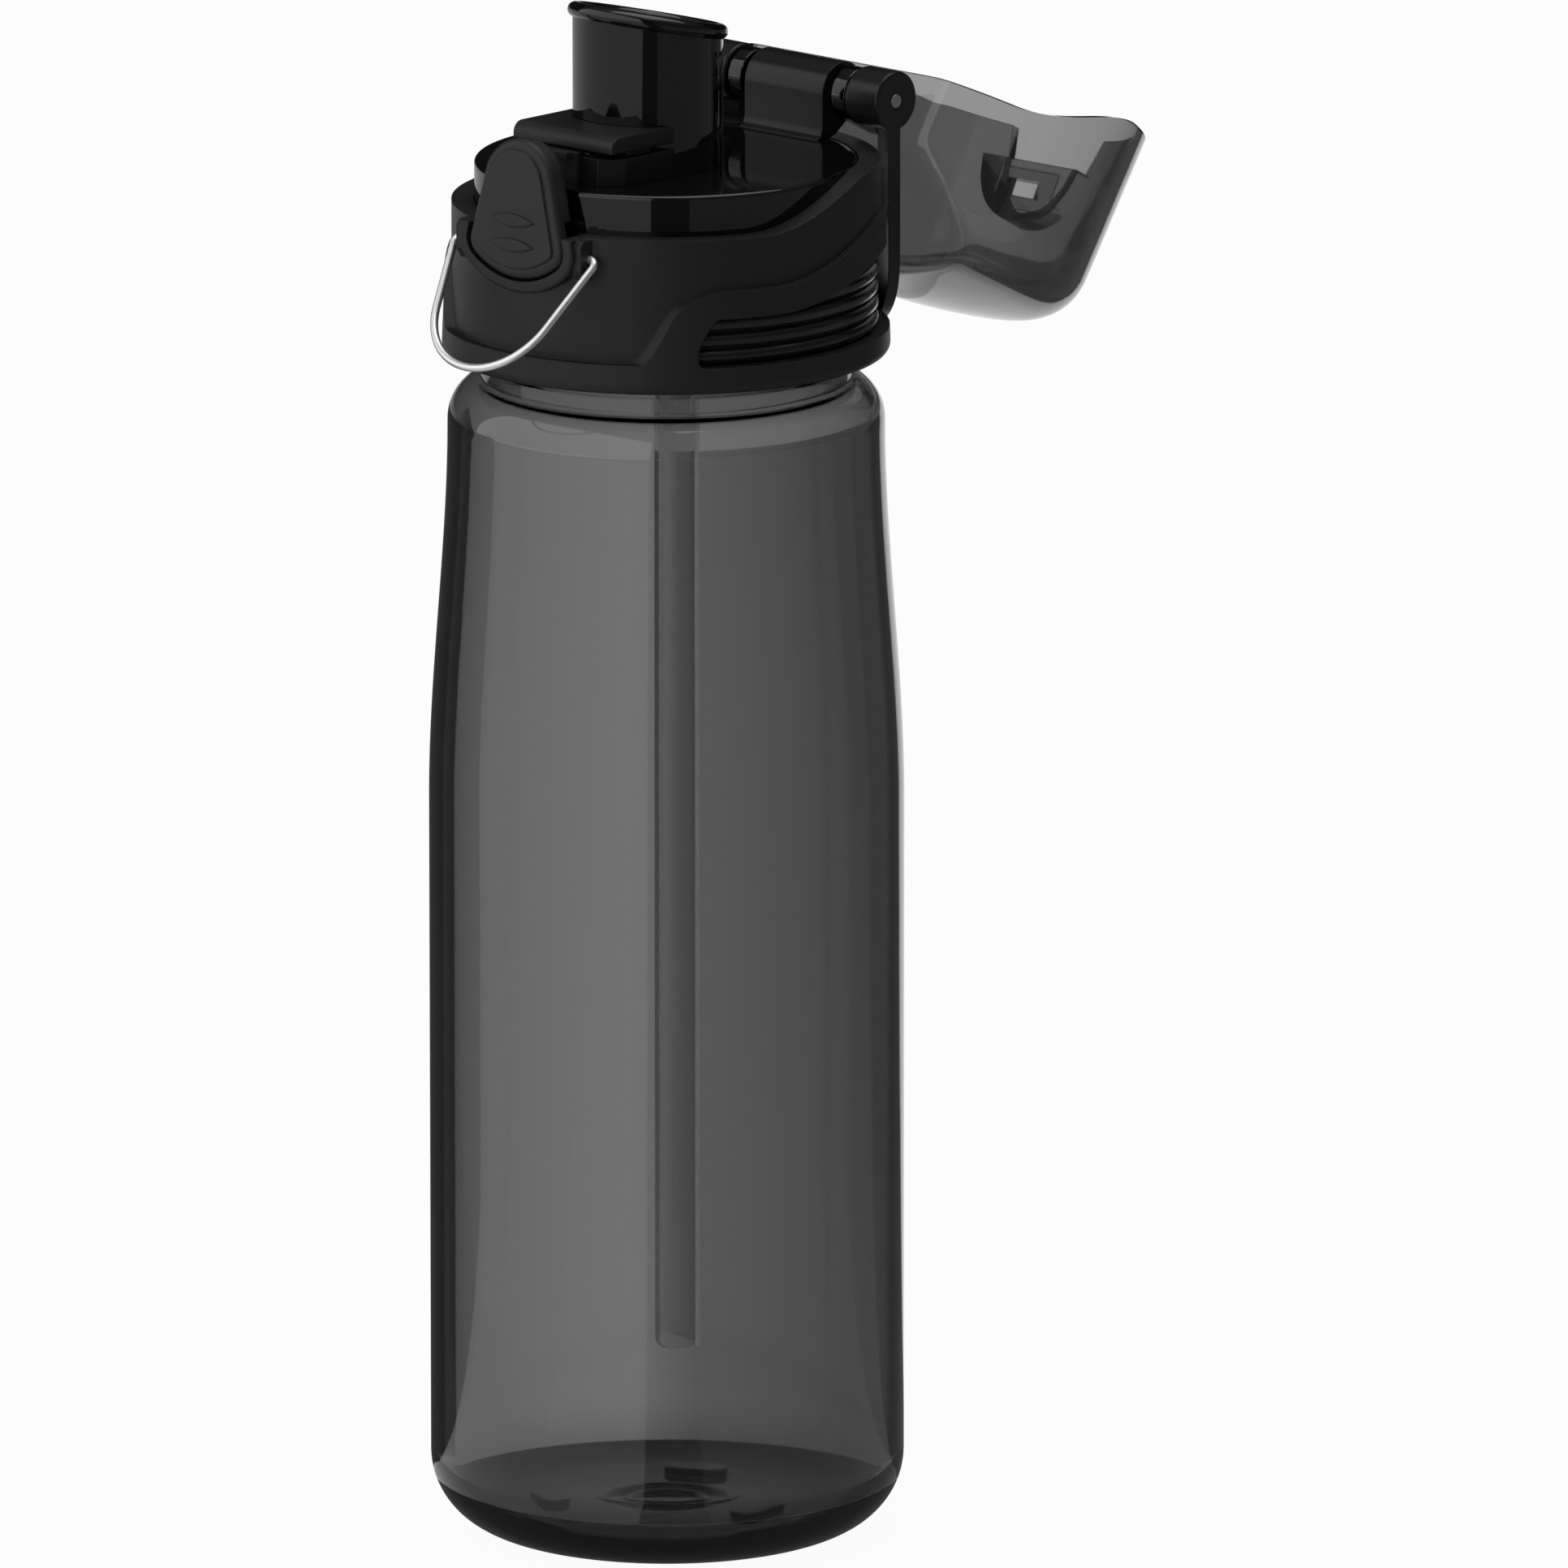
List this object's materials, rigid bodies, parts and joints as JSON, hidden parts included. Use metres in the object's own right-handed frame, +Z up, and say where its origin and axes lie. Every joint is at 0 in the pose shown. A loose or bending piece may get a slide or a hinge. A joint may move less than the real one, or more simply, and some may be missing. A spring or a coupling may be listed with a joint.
{
  "type": "sports drinking bottle, flip lid",
  "caption": "Smoke-clear drinking bottle with a black screw cap: folded-back flip lid, push-button latch, slanted spout with straw, wire bail and carry loop.",
  "frame": {"origin": "centre of the flat base, on the bottle's axis", "axes": "+Z up along the bottle's axis, -Y towards the latch button, +Y towards the lid's hinge, X along the hinge pin"},
  "size_m": [0.073, 0.1352, 0.2407],
  "materials": {
    "smoke_plastic": "clear smoke-grey, polished",
    "gloss_black": "polished black",
    "matte_black": "fine-grained satin black",
    "straw_plastic": "translucent grey",
    "clear_silicone": "translucent silicone",
    "bright_wire": "drawn stainless wire"
  },
  "bodies": {
    "bottle": {"bottle_body": "smoke_plastic"},
    "gasket": {"neck_gasket": "clear_silicone"},
    "cap": {"inner_cap": "gloss_black", "outer_collar": "matte_black", "drink_spout": "gloss_black", "straw_socket": "clear_silicone", "straw": "straw_plastic", "vent_valve": "clear_silicone", "latch_hood": "matte_black", "hinge_pin": "bright_wire", "button_spring": "bright_wire"},
    "button": {"latch_button": "matte_black"},
    "bail": {"wire_bail": "bright_wire"},
    "lid": {"flip_lid": "smoke_plastic", "lid_seal": "clear_silicone"},
    "loop": {"carry_loop": "matte_black"}
  },
  "joints": [
    {"name": "cap_rise", "type": "slide", "parent": "bottle", "child": "gasket", "axis": [0, 0, 1], "range_m": [0, 0.006]},
    {"name": "cap_turn", "type": "hinge", "parent": "gasket", "child": "cap", "pos_m": [0, 0, 0.2], "axis": [0, 0, 1], "range_deg": [0, 540]},
    {"name": "lid_hinge", "type": "hinge", "parent": "cap", "child": "lid", "pos_m": [0, 0.0308, 0.2219], "axis": [1, 0, 0], "range_deg": [0, 208]},
    {"name": "button_press", "type": "slide", "parent": "cap", "child": "button", "axis": [0, 1, 0], "range_m": [0, 0.0016], "stiffness_N_per_m": 400, "deforming": ["button_spring"]},
    {"name": "bail_swing", "type": "hinge", "parent": "cap", "child": "bail", "pos_m": [0, -0.0307, 0.2057], "axis": [-1, 0, 0], "range_deg": [-26, 128]},
    {"name": "loop_swing", "type": "hinge", "parent": "cap", "child": "loop", "pos_m": [0, 0.0308, 0.2219], "axis": [1, 0, 0], "range_deg": [0, 4]}
  ],
  "couplings": [
    {"joint": "cap_turn", "follows": "cap_rise", "rad_per_m": 1570.8}
  ]
}
